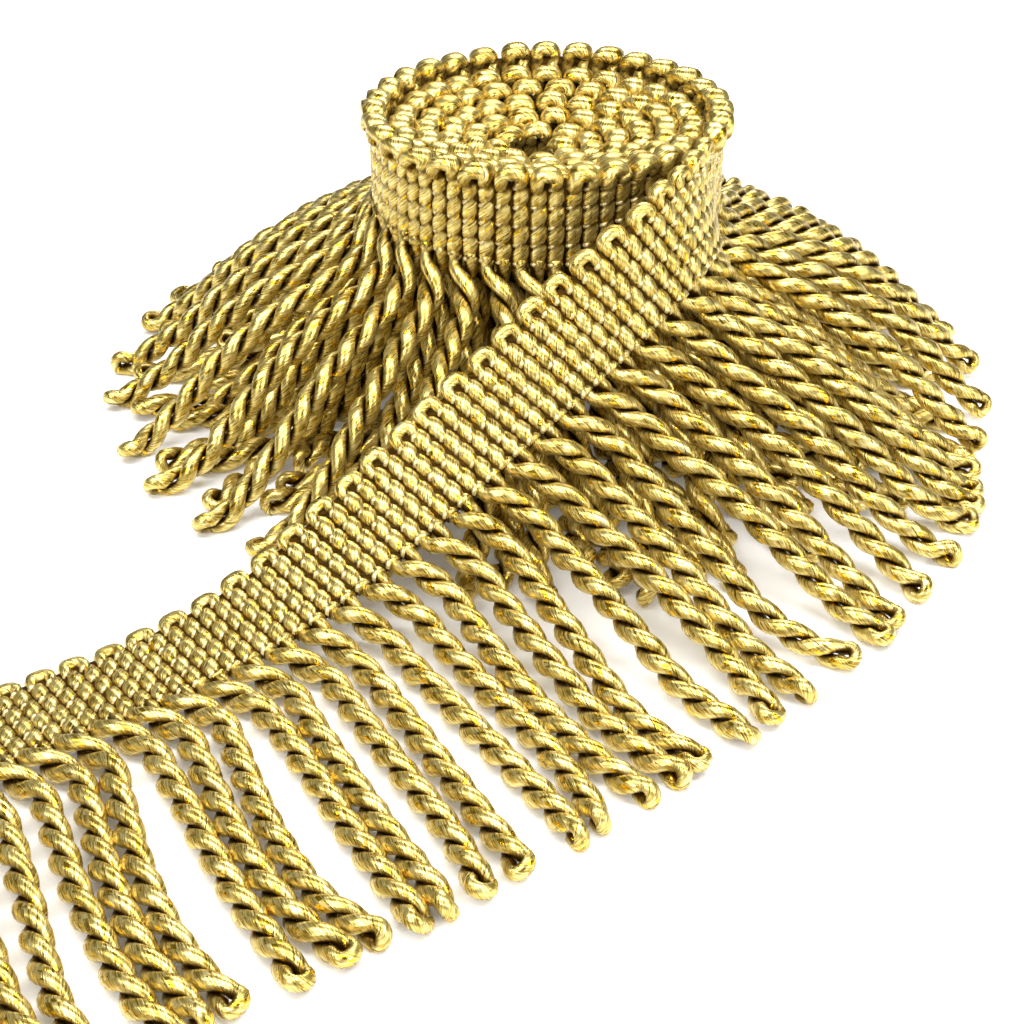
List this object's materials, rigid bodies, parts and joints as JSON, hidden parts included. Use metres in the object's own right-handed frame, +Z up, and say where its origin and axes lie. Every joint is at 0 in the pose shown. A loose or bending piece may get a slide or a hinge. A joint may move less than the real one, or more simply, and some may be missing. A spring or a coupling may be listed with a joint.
{
  "type": "cord fringe trim",
  "caption": "Fringe trim of twisted cords on a looped cord heading, wound in an upright roll with its loose end laid out.",
  "frame": {"origin": "centre of the box around the part, on the surface it stands on", "axes": "+Z up along the roll's axis; +Y towards the back of the roll; the loose end runs towards -X and -Y"},
  "size_m": [0.1954, 0.2816, 0.0573],
  "materials": {
    "heading_gimp": "satin gold thread with a few dark filaments",
    "bullion_cord": "satin gold thread with a few dark filaments"
  },
  "bodies": {
    "root": {"heading": "heading_gimp", "fringe_roll": "bullion_cord", "fringe_loose": "bullion_cord"}
  },
  "joints": []
}
